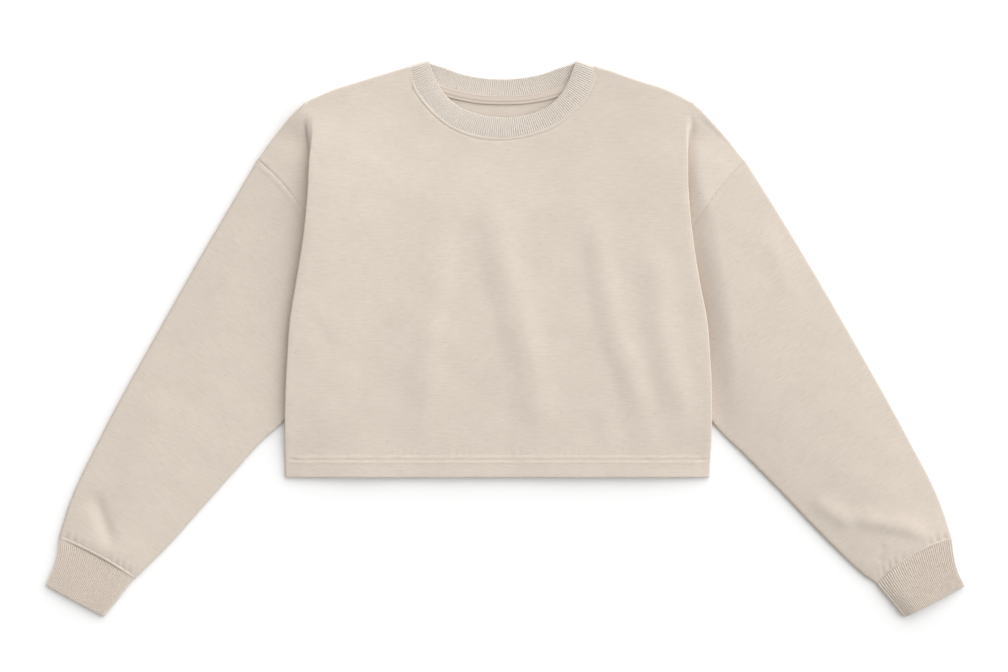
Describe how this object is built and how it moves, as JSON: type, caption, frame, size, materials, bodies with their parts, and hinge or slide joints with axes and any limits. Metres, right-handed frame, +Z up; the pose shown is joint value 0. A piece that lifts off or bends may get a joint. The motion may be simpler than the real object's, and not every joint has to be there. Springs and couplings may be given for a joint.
{
  "type": "sweatshirt",
  "caption": "Cropped crew-neck sweatshirt of oatmeal marl knit, laid flat on its back with both long sleeves slanting down beside the body.",
  "frame": {"origin": "centre of the bounding box's bottom face, on the surface the garment lies on, under the middle of the body", "axes": "+X across the body towards the sleeve on the right as the front is seen, +Y from the hem towards the neck, +Z up out of the front"},
  "size_m": [1.0813, 0.6536, 0.0115],
  "materials": {
    "body_knit": "matt oatmeal marl jersey with a brushed back and fine pale and grey-brown flecks",
    "sleeve_knit": "the same matt oatmeal marl jersey",
    "cuff_rib": "matt marl rib knit, slightly darker than the jersey",
    "collar_rib": "matt marl rib knit",
    "tape": "matt woven cotton tape"
  },
  "bodies": {
    "root": {"front": "body_knit", "back": "body_knit", "sleeve_left": "sleeve_knit", "sleeve_right": "sleeve_knit", "cuff_left": "cuff_rib", "cuff_right": "cuff_rib", "collar": "collar_rib", "neck_tape": "tape"}
  },
  "joints": []
}
